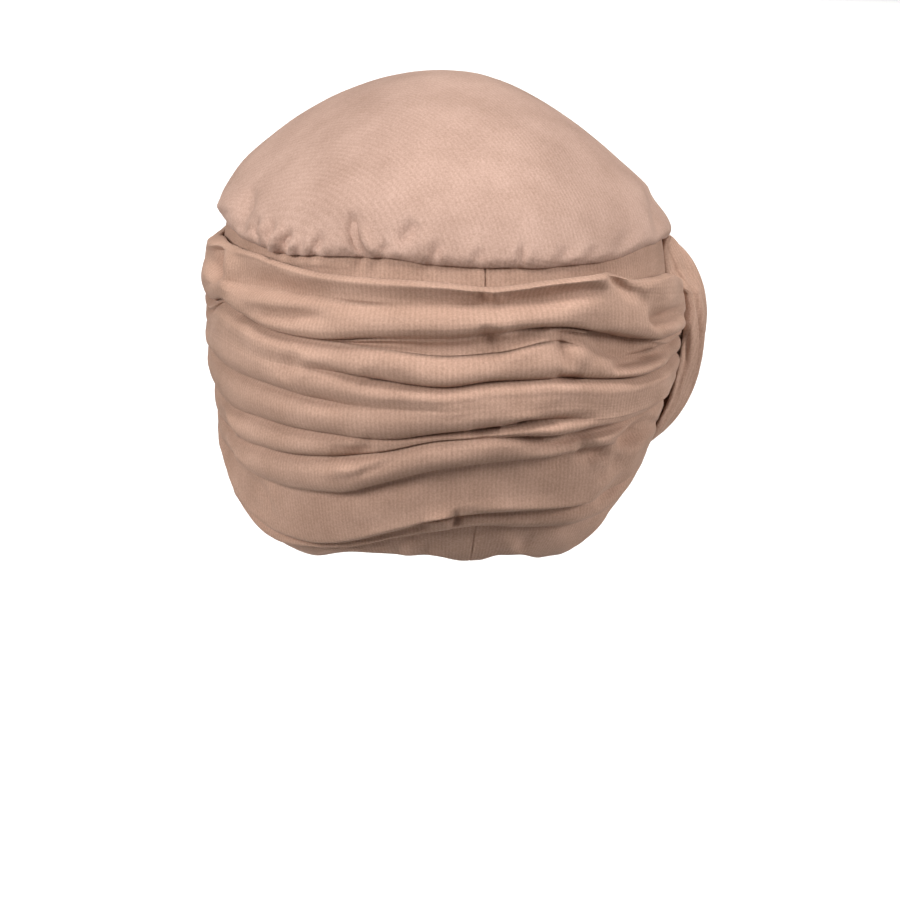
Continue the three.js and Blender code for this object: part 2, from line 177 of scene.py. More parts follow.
def all_round(bearings, values, at):
    turns = np.concatenate([np.asarray(bearings) + turn for turn in (-360, 0, 360)])
    return smooth(turns, np.tile(values, 3), at)


CAP_SECTIONS = read_table("""
     level   side   back  front   lean
     -1.10   0.64   0.54   0.68   0.04
     -0.95   0.77   0.68   0.78   0.04
     -0.77  0.865   0.80   0.87  0.035
     -0.50  0.935  0.925   0.96   0.02
     -0.24  0.975  0.985   0.99  0.005
      0.00   1.00   1.00   1.00   0.00
      0.16  0.995   1.00  0.995   0.00
      0.42   0.96  0.965   0.94   0.00
      0.60   0.92   0.92   0.88   0.00
""")


def oval_radius(bearing, side, back, front):
    s = np.abs(np.sin(np.radians(bearing))) / side
    c = np.cos(np.radians(bearing))
    e = np.abs(c) / np.where(c > 0, back, front)
    return (s ** CAP_ROUNDNESS + e ** CAP_ROUNDNESS) ** (-1 / CAP_ROUNDNESS)


def cap_radius(bearing, z):
    level = np.where(z > 0, z / CROWN_RISE, z / NAPE_DROP)
    share = shares_at(CAP_SECTIONS, "level", level)
    back = CAP_LENGTH * BACK_SHARE
    front = CAP_LENGTH - back
    half = CAP_BREADTH / 2
    oval = oval_radius(bearing, share["side"] * half, share["back"] * back, share["front"] * front)
    return oval + share["lean"] * half * np.sin(np.radians(bearing))


def place(bearing, radius, z):
    turned = np.radians(bearing)
    x, y = radius * np.sin(turned), radius * np.cos(turned)
    return np.stack(np.broadcast_arrays(x, y, z), axis=-1)


# Columns of the mesh stand closest at the back, towards the knot band, and at the seam.
def column_bearings(count):
    fine = np.linspace(-180, 180, 3601)
    crowd = 1 + 0.45 * np.cos(np.radians(fine + 20))
    run = np.concatenate([[0], np.cumsum((crowd[1:] + crowd[:-1]) / 2)])
    return np.interp(np.arange(count) / count * run[-1], run, fine)


beside_seam = SEAM_BEARING + np.array([-0.9, -0.6, -0.38, -0.18, 0.0, 0.18, 0.38, 0.6, 0.9])
even_columns = column_bearings(COLUMNS)
clear_of_seam = even_columns[np.abs(even_columns - SEAM_BEARING) > 1.1]
BEARINGS = np.sort(np.concatenate([clear_of_seam, beside_seam]))

# Height of the crown seam all round, how far the crown puffs out there, and the height of the
# band's lower edge.
SEAM = read_table("""
     bearing  height  puff
        -145    38.3   0.0
        -120    33.0   0.4
         -98    29.0   0.9
         -75    29.0   1.3
         -60    29.5   0.9
         -48    29.8   0.4
         -35    27.6   0.0
         -24    26.2   0.0
         -12    25.9   0.0
           0    26.2   0.0
          10    27.4   0.0
          22    29.2   0.0
          35    29.0   0.0
          48    28.2   0.0
          60    29.2   0.0
          75    31.6   0.4
          90    34.2   1.0
         112    36.4   1.2
         140    41.0   0.4
         180    47.0   0.0
""")
RIM = read_table("""
     bearing  height
        -145   -34.4
        -120   -43.0
         -98   -52.0
         -75   -58.8
         -60   -63.8
         -51   -69.4
         -44   -78.0
         -34   -84.8
         -26   -84.9
         -15   -82.2
          -8   -81.8
          -2   -83.7
           3   -83.8
          12   -81.4
        16.5   -80.9
          21   -81.3
          27   -80.8
          36   -80.9
          60   -85.4
          75   -83.6
          90   -71.5
         112   -55.0
         140   -38.6
         180   -10.0
""")


def seam_height(bearing):
    return all_round(SEAM["bearing"], SEAM["height"], bearing)


def rim_height(bearing):
    return all_round(RIM["bearing"], RIM["height"], bearing)


# Where a point shows in the picture, so that a fold drawn there sits on the cloth that carries it.
def picture_place(points):
    nearer = CAMERA_DISTANCE / (CAMERA_DISTANCE - points @ TOWARDS_CAMERA)
    x = (points @ PICTURE_RIGHT - MIDDLE_OFFSET[0]) * nearer / MM_A_PIXEL
    y = (points @ PICTURE_UP + MIDDLE_OFFSET[1]) * nearer / MM_A_PIXEL
    return np.stack([PICTURE_PIXELS / 2 + x, PICTURE_PIXELS / 2 - y], axis=-1)


# Folds drawn in the picture: each is a kind, its width and depth in millimetres, and a line of
# picture places. A valley sinks, a ridge rises, a tuck drops in one step below its line, and a
# gather is a valley that deepens all the way to its end, where it is sewn down.
FOLD_REACH = 4
TUCK_STEP = 0.6
GATHER_SHOULDER = 0.45


def drawn_folds(points, facing, folds):
    seen = picture_place(points)
    shown = np.broadcast_to(np.clip(facing * 3, 0, 1), seen.shape[:-1])
    total = np.zeros(seen.shape[:-1])
    for kind, width, depth, line in folds:
        line = np.array(line, float)
        reach = FOLD_REACH * width / MM_A_PIXEL
        low, high = line.min(axis=0) - reach, line.max(axis=0) + reach
        near = np.all((seen > low) & (seen < high), axis=-1) & (shown > 0)
        if not near.any():
            continue
        spots = seen[near]
        lengths = np.linalg.norm(np.diff(line, axis=0), axis=1)
        nearest = np.full(len(spots), np.inf)
        signed = np.zeros(len(spots))
        along = np.zeros(len(spots))
        done = 0.0
        for start, end, length in zip(line[:-1], line[1:], lengths):
            way = (end - start) / length
            step = np.clip((spots - start) @ way, 0, length)
            off = spots - start - step[:, None] * way
            away = np.hypot(off[:, 0], off[:, 1])
            side = np.sign(way[0] * off[:, 1] - way[1] * off[:, 0])
            closer = away < nearest
            nearest[closer] = away[closer]
            signed[closer] = (away * side)[closer]
            along[closer] = (done + step[closer]) / lengths.sum()
            done += length
        off = signed * MM_A_PIXEL
        ends = np.clip(np.sin(np.pi * along), 0, 1) ** 0.8
        form = np.exp(-(off / width) ** 2) * (1 if kind == "ridge" else -1)
        if kind == "tuck":
            form = -np.tanh(off / TUCK_STEP) * np.exp(-np.abs(off) / width)
        elif kind == "gather":
            beside = (np.abs(off) - 1.9 * width) / width
            form = form + GATHER_SHOULDER * np.exp(-beside ** 2)
            ends = np.clip(along * 2.2, 0, 1) ** 1.2
        total[near] += depth * form * ends * shown[near]
    return total


# Slow unevenness of worn cloth, as much as amount millimetres over lumps of that size.
def unevenness(points, lump, amount, seed):
    flat = points.reshape(-1, 3) / lump + seed * 7.3
    values = [noise.noise(Vector(p)) for p in flat]
    return amount * np.array(values).reshape(points.shape[:-1])


# Faces of a grid of points, in rows that are each closed round the piece. With loop, the last
# row joins the first.
def grid_faces(count, columns, loop):
    faces = []
    for i in range(count if loop else count - 1):
        n = (i + 1) % count
        for j in range(columns):
            m = (j + 1) % columns
            faces.append((i * columns + j, i * columns + m, n * columns + m, n * columns + j))
    return faces


def add_cloth(name, points, faces):
    mesh = bpy.data.meshes.new(name)
    mesh.from_pydata([tuple(p / 1000) for p in points], [], faces)
    piece = bpy.data.objects.new(name, mesh)
    bpy.context.collection.objects.link(piece)
    bpy.ops.object.select_all(action="DESELECT")
    bpy.context.view_layer.objects.active = piece
    piece.select_set(True)
    bpy.ops.object.shade_smooth()
    return piece


# Knit map: how far round the cap and how far down the rows each point lies, in metres.
KNIT_RADIUS = 92
KNIT_ROUND = 2 * math.pi * KNIT_RADIUS / 1000


def knit_map(rows, bearings):
    down = np.linalg.norm(np.diff(rows, axis=0), axis=-1).mean(axis=1)
    along = np.concatenate([[0], np.cumsum(down)]) / 1000
    across = np.radians(bearings) * KNIT_RADIUS / 1000
    return np.stack(np.broadcast_arrays(across[None, :], along[:, None]), axis=-1)


# A sheet whose rows are each closed round the cap. They go down the outside and up the inside,
# and a sheet that ends in two poles is closed over the top. Faces past the middle of the front
# carry the knit on instead of running back across it.
def cloth_round(name, rows, loop, knit, poles=()):
    count, columns = rows.shape[:2]
    points = list(rows.reshape(-1, 3)) + [np.asarray(p, float) for p in poles]
    faces = grid_faces(count, columns, loop)
    if len(poles):
        top, under = len(points) - 2, len(points) - 1
        last = (count - 1) * columns
        for j in range(columns):
            m = (j + 1) % columns
            faces.append((top, m, j))
            faces.append((under, last + j, last + m))
    piece = add_cloth(name, points, faces)
    mesh = piece.data
    layer = mesh.uv_layers.new(name="knit")
    corners = np.empty(len(mesh.loops), dtype=np.int64)
    mesh.loops.foreach_get("vertex_index", corners)
    flat = knit.reshape(-1, 2)
    uv = np.concatenate([flat, np.zeros((len(poles), 2))])[corners]
    if loop:
        quads = uv[:, 0].reshape(-1, 4)
        jump = (quads.max(axis=1) - quads.min(axis=1)) > KNIT_ROUND / 2
        behind = quads[jump] < quads[jump].mean(axis=1, keepdims=True)
        quads[jump] = quads[jump] + behind * KNIT_ROUND
        uv[:, 0] = quads.reshape(-1)
    layer.data.foreach_set("uv", uv.reshape(-1))
    return piece


def add_node(material, kind, links=(), values=(), **settings):
    node = material.node_tree.nodes.new(kind)
    for name, setting in settings.items():
        setattr(node, name, setting)
    for socket, value in values:
        node.inputs[socket].default_value = value
    for source, target in links:
        material.node_tree.links.new(source, node.inputs[target])
    return node


# Viscose and cotton single jersey, knitted fine and brushed by wear: matt, with upright ribs of
# stitches that catch a little light, a soft bloom at grazing angles and slightly uneven dye. The
# real ribs are 0.6 mm apart and would only flicker in the picture, so they are drawn wider. Waves
# of scale 1 come 20 / (2 * pi) to the metre.
RIB_SPACING = 1.6
COURSE_SPACING = 2.6
JERSEY_SHADE = "#987967"
JERSEY_LIGHT = "#c4a290"


def jersey(name, shade=JERSEY_SHADE, light=JERSEY_LIGHT, ribs=1.0):
    cloth = bpy.data.materials.new(name)
    cloth.use_nodes = True
    surface = cloth.node_tree.nodes["Principled BSDF"]
    surface.inputs["Roughness"].default_value = 0.88
    surface.inputs["Specular IOR Level"].default_value = 0.25
    surface.inputs["Sheen Weight"].default_value = 0.12
    surface.inputs["Sheen Roughness"].default_value = 0.45
    surface.inputs["Sheen Tint"].default_value = screen_colour("#f0d8c8")
    knit = add_node(cloth, "ShaderNodeUVMap", uv_map="knit").outputs["UV"]
    here = add_node(cloth, "ShaderNodeTexCoord").outputs["Object"]
    rib = add_node(cloth, "ShaderNodeTexWave", [(knit, "Vector")],
                   [("Scale", 1000 / RIB_SPACING * 2 * math.pi / 20), ("Distortion", 1.2),
                    ("Detail", 2.0), ("Detail Scale", 0.6)], bands_direction="X")
    course = add_node(cloth, "ShaderNodeTexWave", [(knit, "Vector")],
                      [("Scale", 1000 / COURSE_SPACING * 2 * math.pi / 20), ("Distortion", 2.0),
                       ("Detail", 2.0)], bands_direction="Y")
    dye = add_node(cloth, "ShaderNodeTexNoise", [(here, "Vector")], [("Scale", 55), ("Detail", 5)])
    fuzz = add_node(cloth, "ShaderNodeTexNoise", [(here, "Vector")],
                    [("Scale", 1500), ("Detail", 3)])
    uneven = add_node(cloth, "ShaderNodeMath", [(fuzz.outputs["Fac"], 0), (dye.outputs["Fac"], 2)],
                      [(1, 1.4)], operation="MULTIPLY_ADD")
    ribbed = add_node(cloth, "ShaderNodeMath", [(rib.outputs["Fac"], 0), (uneven.outputs[0], 2)],
                      [(1, 0.22 * ribs)], operation="MULTIPLY_ADD")
    spread = add_node(cloth, "ShaderNodeMapRange", [(ribbed.outputs[0], "Value")],
                      [("From Min", 0.75), ("From Max", 1.95)])
    tone = add_node(cloth, "ShaderNodeMix", [(spread.outputs["Result"], 0)],
                    [(6, screen_colour(shade)), (7, screen_colour(light))], data_type="RGBA")
    cloth.node_tree.links.new(tone.outputs[2], surface.inputs["Base Color"])
    relief = add_node(cloth, "ShaderNodeMath",
                      [(rib.outputs["Fac"], 0), (course.outputs["Fac"], 2)], [(1, 0.9)],
                      operation="MULTIPLY_ADD")
    brushed = add_node(cloth, "ShaderNodeMath", [(fuzz.outputs["Fac"], 0), (relief.outputs[0], 2)],
                       [(1, 1.5)], operation="MULTIPLY_ADD")
    bump = add_node(cloth, "ShaderNodeBump", [(brushed.outputs[0], "Height")],
                    [("Strength", 0.35), ("Distance", 0.00012)])
    cloth.node_tree.links.new(bump.outputs["Normal"], surface.inputs["Normal"])
    return cloth


def finish_cloth(piece, cloth, node):
    piece.data.materials.append(cloth)
    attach(piece, "root")
    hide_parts(node)


BAND_FOLDS = [
    ("ridge", 0.9, 1.6, [(236, 248), (262, 258), (300, 262), (340, 265), (364, 267)]),
    ("valley", 1.0, 1.7, [(244, 258), (262, 264), (300, 269), (340, 272), (366, 274)]),
    ("valley", 1.6, 1.1, [(360, 252), (360, 262), (357, 276)]),
    ("ridge", 2.2, 0.7, [(366, 254), (366, 264), (364, 276)]),
    ("valley", 2.2, 1.0, [(395, 562), (399, 548), (404, 538)]),
    ("ridge", 3.0, 1.6, [(411, 562), (412, 550), (414, 538)]),
    ("valley", 2.2, 1.2, [(425, 560), (430, 547), (440, 536)]),
    ("valley", 2.5, 1.3, [(516, 552), (524, 543), (534, 534)]),
    ("ridge", 4.0, 1.2, [(503, 556), (508, 545), (512, 534)]),
    ("ridge", 5.0, 1.2, [(555, 557), (562, 545), (568, 532)]),
    ("ridge", 6.0, 1.2, [(570, 544), (590, 530), (606, 512)]),
]
HEM_FROM = 0.9

# Rows of the band's outer face, from 0 at its lap under the crown to 1 at its lower edge.
BAND_OUT = np.concatenate([np.linspace(0, 0.08, 6), np.linspace(0.1, 0.88, 44),
                           np.linspace(HEM_FROM, 0.97, 8), [0.985, 0.995, 1.0]])


def band_face(bearing, level, inset):
    edge = seam_height(bearing)
    top = edge + BAND_LAP
    z = top + level * (rim_height(bearing) - top)
    under_crown = np.clip((z - edge) / BAND_LAP, 0, 1) * THINNED_BY_LAP
    return place(bearing, cap_radius(bearing, z) + BAND_WALL - under_crown - inset, z)


def make_side_band():
    outside = np.stack([band_face(BEARINGS, level, 0) for level in BAND_OUT])
    radial = place(BEARINGS, 1.0, 0.0)[None]
    folds = drawn_folds(outside, radial @ TOWARDS_CAMERA, BAND_FOLDS)
    worn = unevenness(outside, 26, 0.5, 1) + unevenness(outside, 9, 0.12, 2)
    below = np.clip((-outside[..., 2] - WORN_BELOW) / WORN_WITHIN, 0, 1)
    hem = np.where(BAND_OUT > HEM_FROM, 1.0, 0.0)[:, None] * HEM_THICKNESS
    from_seam = np.radians(BEARINGS - SEAM_BEARING) * SEAM_RADIUS
    stitches = 0.75 + 0.25 * np.sin(outside[..., 2] * 2 * math.pi / SEAM_STITCH)
    welt = SEAM_WELT * np.exp(-(from_seam / SEAM_WELT_WIDTH) ** 2)
    groove = SEAM_GROOVE * np.exp(-(from_seam / SEAM_GROOVE_WIDTH) ** 2)
    seam = (welt - groove)[None] * stitches
    tuck_in = np.clip((BAND_OUT - 0.985) / 0.015, 0, 1)[:, None] * -0.5
    outside = outside + radial * (folds + worn * below + hem * below + tuck_in + seam)[..., None]
    inside = np.stack([band_face(BEARINGS, level, BAND_WALL * 0.8) for level in BAND_OUT[::-5]])
    rows = np.concatenate([outside, inside])
    piece = cloth_round("side_band_jersey", rows, True, knit_map(rows, BEARINGS))
    finish_cloth(piece, jersey("brown_jersey_band"), "side_band")


make_side_band()


# Crown: one oval of the same jersey, gathered on a thread along its edge and sewn to the band
# with the raw edges inside. It puffs a few millimetres over the seam, its gathers fade out within
# three centimetres, and above them it is smooth and slouches a little to the left.
CROWN_WALL = 2.0
CROWN_OVERHANG = 2.2
CROWN_SECTIONS = read_table("""
     arc   side   back  front  slouch
       0   1.00   1.00   1.00    0.00
      15  0.918  0.945  0.935   0.005
      30  0.747  0.825   0.81    0.01
      45  0.553   0.66  0.645   0.012
      60  0.362   0.45   0.44   0.005
      75  0.175  0.225   0.22  -0.005
      90   0.00   0.00   0.00    0.00
""")
CROWN_FOLDS = [
    ("ridge", 4.0, 1.8, [(232, 184), (236, 204), (240, 228)]),
    ("valley", 2.4, 3.4, [(250, 184), (245, 208), (241, 226), (248, 246)]),
    ("gather", 2.0, 3.0, [(257, 212), (254, 228), (256, 250)]),
    ("gather", 1.7, 3.4, [(274, 218), (268, 234), (264, 254)]),
    ("gather", 1.8, 3.9, [(291, 228), (284, 242), (280, 257)]),
    ("gather", 1.3, 1.2, [(303, 238), (300, 248), (298, 258)]),
    ("gather", 1.8, 2.4, [(322, 230), (317, 244), (313, 258)]),
    ("valley", 2.2, 3.4, [(352, 212), (352, 232), (357, 246), (363, 258)]),
    ("gather", 1.5, 2.2, [(352, 228), (355, 242), (363, 258)]),
    ("ridge", 2.4, 1.8, [(360, 224), (364, 238), (372, 254)]),
    ("ridge", 3.0, 1.0, [(342, 232), (342, 244), (344, 255)]),
    ("valley", 3.4, 2.6, [(416, 222), (408, 233), (396, 246)]),
    ("ridge", 3.4, 1.2, [(426, 228), (420, 240), (410, 254)]),
    ("gather", 2.0, 1.2, [(388, 240), (384, 250), (382, 260)]),
    ("gather", 2.0, 1.5, [(440, 238), (436, 248), (432, 262)]),
    ("gather", 2.2, 1.1, [(484, 246), (480, 255), (476, 266)]),
    ("gather", 1.5, 1.3, [(525, 240), (522, 252), (520, 268)]),
    ("gather", 2.2, 0.9, [(566, 244), (564, 254), (560, 266)]),
    ("gather", 2.0, 1.0, [(598, 242), (594, 252), (588, 263)]),
    ("valley", 2.4, 1.1, [(634, 229), (624, 242), (614, 256)]),
    ("ridge", 3.0, 0.6, [(646, 228), (638, 242), (628, 255)]),
    ("valley", 2.2, 2.2, [(650, 186), (656, 206), (660, 226), (660, 244)]),
    ("ridge", 4.0, 2.4, [(228, 186), (222, 198), (219, 210), (221, 216)]),
    ("valley", 9.0, 0.8, [(250, 150), (262, 176), (274, 200)]),
    ("ridge", 10.0, 0.7, [(300, 170), (330, 196), (362, 210)]),
    ("valley", 9.0, 0.7, [(560, 150), (600, 182), (640, 196)]),
]
HIDDEN_GATHERS = 34
GATHER_DEPTH = 1.0
# The crown's two tones are paler and pinker than the rest of the same jersey: painted highlight,
# for the light that bleaches the crown where it faces up to the overhead softbox.
PAINTED_HIGHLIGHT_CROWN_DARK = "#9b7e6f"
PAINTED_HIGHLIGHT_CROWN_PALE = "#c7a89a"
CROWN_RIBS = 0.6
KNIT_SLANT = 28

# Rows of the crown, as arcs above its edge: down the outside and up the inside.
CROWN_OUT = np.concatenate([90 - 86 * np.linspace(0.03, 1, 84), [3, 2, 1.2, 0.6, 0.2]])
CROWN_IN = (0.2, 4, 12, 24, 38, 54, 70, 84)
CROWN_EDGE_ROWS = 6


# The dome at one arc above its edge, 0 at the seam and 90 at the top.
def crown_face(bearing, arc, inset):
    edge = seam_height(bearing)
    share = shares_at(CROWN_SECTIONS, "arc", arc)
    sizes = [max(float(share[name]), 1e-4) for name in ("side", "back", "front")]
    rise, run = math.sin(math.radians(arc)), math.cos(math.radians(arc))
    puff = all_round(SEAM["bearing"], SEAM["puff"], bearing) * run ** 2
    reach = cap_radius(bearing, edge) + BAND_WALL + CROWN_OVERHANG + puff
    turned_under = np.clip(1 - arc / 3.5, 0, 1) ** 2 * (CROWN_OVERHANG - 0.5)
    radius = reach * oval_radius(bearing, *sizes) - turned_under
    radius = np.maximum(radius - inset * run, 0.05)
    at = place(bearing, radius, edge + (CROWN_RISE - edge) * rise - inset * rise)
    at[..., 0] += float(share["slouch"]) * CAP_BREADTH / 2
    return at


# Gathers go on round the crown where the picture doesn't show them.
def hidden_gathers(bearing, arc):
    slow, quick = np.radians(3 * bearing + 40), np.radians(7 * bearing)
    wander = bearing + 5 * np.sin(slow) + 3 * np.sin(quick)
    pleats = np.abs(np.cos(np.radians(wander * HIDDEN_GATHERS / 2))) ** 1.5 - 0.6
    strength = 0.6 + 0.4 * np.sin(np.radians(5 * bearing + 20))
    unseen = np.clip(1 - np.cos(np.radians(bearing - 180 + VIEW_AZIMUTH)) * 2.4, 0.12, 1)
    return GATHER_DEPTH * pleats * strength * unseen * np.clip(1 - arc / 30, 0, 1) ** 2


def make_crown():
    outside = np.stack([crown_face(BEARINGS, arc, 0) for arc in CROWN_OUT])
    arcs = CROWN_OUT[:, None]
    tilt = np.radians(arcs)
    out = place(BEARINGS, np.cos(tilt), np.sin(tilt))
    facing = np.clip(out @ TOWARDS_CAMERA + 0.1, 0, 1)
    folds = drawn_folds(outside, facing, CROWN_FOLDS) + hidden_gathers(BEARINGS, arcs)
    worn = unevenness(outside, 45, 0.9, 3) + unevenness(outside, 14, 0.14, 4)
    held = np.clip((arcs - 0.2) / 3, 0.5, 1)
    outside = outside + out * ((folds + worn) * held)[..., None]
    outside[-CROWN_EDGE_ROWS:, :, 2] += unevenness(outside[-CROWN_EDGE_ROWS:], 12, 0.7, 5)
    inside = np.stack([crown_face(BEARINGS, arc, CROWN_WALL) for arc in CROWN_IN])
    rows = np.concatenate([outside, inside])
    poles = (outside[0].mean(axis=0) + [0, 0, 0.05], inside[-1].mean(axis=0))
    x, y, z = (rows[..., i] / 1000 for i in range(3))
    cosine, sine = math.cos(math.radians(KNIT_SLANT)), math.sin(math.radians(KNIT_SLANT))
    knit = np.stack([x * cosine + y * sine, y * cosine - x * sine + z], axis=-1)
    piece = cloth_round("crown_jersey", rows, False, knit, poles)
    # Painted highlight: the crown takes paler, pinker tones than the wrap, band and knot band of
    # the same jersey.
    cloth = jersey("brown_jersey_crown_painted_highlight", PAINTED_HIGHLIGHT_CROWN_DARK, PAINTED_HIGHLIGHT_CROWN_PALE, CROWN_RIBS)
    finish_cloth(piece, cloth, "crown")


make_crown()


# Wrap: a long scarf of the same jersey, wound round the cap and gathered so that it lies in soft
# horizontal rolls. Its upper edge is a folded lip, each roll hangs a little over the crease below
# it, a narrow second layer shows at the nape, and all rolls run together under the knot band.
WRAP_BULK = 9.5
WRAP_LEAST = 0.75
WRAP_CLOTH = 1.5
FIT_GAP = 0.4

# Height of each crease round the cap, and how deep it is cut, as a share of the rolls there.
CREASE_HEIGHTS = read_table("""
    bearing  top underLip shoulder pocket hatLine earTop middle earLobe napeTop under bottom
       -145 31.0     25.0     16.0   10.5     5.0    0.0   -6.0   -11.0   -16.0 -21.5  -25.3
       -120 18.7     13.0      6.0    1.5    -4.0   -9.0  -14.5   -19.0   -23.0 -27.5  -31.6
        -98  9.5      4.0     -3.0   -7.0   -12.0  -17.0  -22.0   -26.0   -31.0 -35.5  -39.9
        -75 12.0      8.0     -3.0   -7.5   -13.5  -20.0  -25.0   -29.0   -37.0 -43.5  -49.0
        -60 15.5     10.0     -5.0   -8.0   -14.2  -21.5  -25.5   -28.8   -39.0 -49.5  -56.0
        -48 18.3     12.0     -4.5   -7.8   -15.4  -22.5  -26.5   -30.4   -39.6 -54.5  -62.5
        -35 18.6     15.0     -1.7   -9.1   -16.4  -23.5  -28.0   -32.4   -40.0 -57.8  -68.8
        -24 22.6     18.3      2.2   -6.0   -15.2  -23.5  -28.5   -33.4   -40.6 -61.5  -70.8
        -12 21.2     13.7      4.6   -0.5   -13.4  -22.0  -28.4   -35.2   -43.1 -62.2  -70.4
          0 19.3     12.8      3.4   -4.0   -13.6  -22.0  -30.8   -33.9   -44.0 -62.4  -68.9
         10 21.0     13.0      1.5   -4.8   -15.5  -23.5  -32.7   -35.3   -46.1 -64.1  -70.8
         22 21.9     13.0      1.2   -2.4   -13.6  -23.2  -35.5   -40.0   -51.2 -69.6  -73.9
         35 22.6     13.8      0.2   -1.0   -11.0  -22.3  -34.8   -43.3   -56.8 -75.0  -78.6
         48 24.6     14.4      1.2    0.2    -9.5  -20.0  -33.8   -44.3   -57.6 -77.6  -80.8
         60 26.5     14.2      3.7    2.8    -7.0  -18.4  -32.2   -43.3   -55.8 -76.5  -81.2
         75 27.0     15.5      7.2    6.4    -5.0  -16.8  -31.5   -42.0   -51.0 -71.0  -77.4
         90 27.0     15.6      4.6    1.0    -6.0  -15.5  -30.0   -41.0   -49.5 -58.5  -65.0
        112 26.0     18.9      8.7    2.1    -3.8  -10.4  -24.4   -33.0   -38.9 -45.1  -49.0
        140 32.5     25.8     16.4   10.4     5.0   -2.0  -11.7   -18.4   -23.8 -29.2  -32.5
        180 46.0     39.2     30.9   25.4    19.9   14.3    7.7     2.7    -1.8  -5.6   -8.2
""")
CREASE_DEPTHS = read_table("""
    bearing  top underLip shoulder pocket hatLine earTop middle earLobe napeTop under bottom
       -145 0.50     0.40     0.60   0.35    0.60   0.30   0.60    0.30    0.50  0.60   0.60
       -120 0.50     0.40     0.60   0.40    0.60   0.30   0.60    0.30    0.50  0.60   0.60
        -98 0.50     0.45     0.70   0.50    0.70   0.40   0.60    0.60    0.60  0.60   0.60
        -75 0.40     0.25     0.80   0.55    0.86   0.20   0.30    0.84    0.40  0.60   0.56
        -60 0.35     0.05     0.84   0.55    0.88   0.05   0.10    0.86    0.12  0.62   0.50
        -48 0.35     0.05     0.85   0.50    0.85   0.00   0.00    0.85    0.10  0.70   0.46
        -35 0.35     0.05     0.92   0.35    0.92   0.00   0.00    0.90    0.20  0.78   0.46
        -24 0.40     0.15     0.90   0.30    0.95   0.00   0.00    0.90    0.60  0.80   0.46
        -12 0.40     0.50     0.70   0.50    0.92   0.00   0.42    0.78    0.70  0.80   0.46
          0 0.40     0.60     0.45   0.65    0.88   0.00   0.80    0.22    0.70  0.80   0.48
         10 0.40     0.62     0.42   0.58    0.88   0.05   0.68    0.50    0.72  0.80   0.50
         22 0.40     0.62     0.50   0.50    0.75   0.20   0.55    0.55    0.80  0.80   0.56
         35 0.40     0.68     0.80   0.75    0.35   0.42   0.55    0.55    0.78  0.82   0.62
         48 0.40     0.72     0.85   0.80    0.10   0.50   0.62    0.58    0.62  0.75   0.66
         60 0.40     0.66     0.88   0.80    0.05   0.50   0.62    0.55    0.60  0.62   0.64
         75 0.45     0.30     0.84   0.50    0.05   0.50   0.50    0.45    0.60  0.55   0.62
         90 0.70     0.05     0.66   0.30    0.10   0.45   0.50    0.40    0.55  0.55   0.60
        112 0.60     0.20     0.60   0.30    0.40   0.40   0.50    0.40    0.50  0.55   0.60
        140 0.50     0.40     0.60   0.30    0.50   0.35   0.50    0.30    0.50  0.55   0.60
        180 0.50     0.40     0.60   0.30    0.55   0.30   0.55    0.30    0.50  0.55   0.60
""")

# How full each roll is between its two creases, as a share of the bulk at that bearing.
FULLNESS = read_table("""
    bearing bulk  lip shoulder valley temple hatLine back lobe fold nape under
       -145 0.95 0.80     1.02   0.86   0.96    1.02 1.04 1.00 0.88 0.80  0.52
       -120 0.92 0.80     1.02   0.86   0.96    1.02 1.04 1.00 0.88 0.80  0.52
        -98 0.88 0.80     1.02   0.80   0.90    0.98 0.98 0.90 0.78 0.64  0.44
        -75 0.74 0.85     1.05   0.68   0.90    0.98 0.92 0.70 0.56 0.40  0.34
        -60 0.72 0.95     1.12   0.68   0.92    1.00 0.96 0.70 0.58 0.40  0.36
        -48 0.84 1.02     1.18   0.66   0.94    1.02 1.04 0.80 0.72 0.56  0.50
        -35 0.92 1.02     1.18   0.60   0.92    1.04 1.04 0.84 0.92 0.94  0.84
        -24 0.94 0.98     1.12   0.52   0.94    1.04 1.04 0.96 0.98 1.04  0.90
        -12 0.96 0.90     1.08   0.58   1.00    1.04 1.04 1.00 0.98 1.02  0.60
          0 0.98 0.84     1.04   0.42   1.04    1.04 1.06 0.92 1.00 1.02  0.56
         10 1.00 0.80     1.02   0.34   1.04    1.04 1.06 0.66 1.00 1.00  0.54
         22 0.98 0.76     1.02   0.32   1.02    1.02 1.06 0.66 1.00 0.96  0.50
         35 0.94 0.68     1.02   0.32   0.98    1.00 1.05 0.86 0.98 0.88  0.48
         48 0.90 0.54     1.02   0.34   0.98    1.00 1.04 0.98 0.94 0.88  0.58
         60 0.86 0.46     1.00   0.36   0.98    1.00 1.04 1.00 0.92 0.94  0.84
         75 0.78 0.66     1.00   0.55   0.90    0.94 0.96 0.90 0.84 0.90  0.88
         90 0.70 1.00     1.03   0.80   0.82    0.88 0.90 0.74 0.68 0.80  0.70
        112 0.73 0.80     1.05   0.86   0.82    0.88 0.90 0.74 0.68 0.80  0.52
        140 0.84 0.60     1.02   0.86   0.90    0.95 0.95 0.90 0.84 0.80  0.52
        180 1.00 0.50     1.02   0.86   0.96    1.02 1.04 1.00 0.88 0.80  0.52
""")
CREASES = [name for name in CREASE_HEIGHTS if name != "bearing"]
ROLLS = [name for name in FULLNESS if name not in ("bearing", "bulk")]
ROLL_STEPS = 17

# How far a deep crease rides up and opens under the roll above it, and where each roll is
# fullest: at the part of the way down whose power by this number is one half.
CREASE_LIFT = 2.3
CREASE_MOUTH = 2.1
CREST_AT = {"lip": 0.45, "nape": 1.5, "under": 0.7}
CREST_USUAL = 0.62
LIP_STANDS = -0.26


def at_bearing(table, name, bearing):
    return all_round(table["bearing"], table[name], bearing)


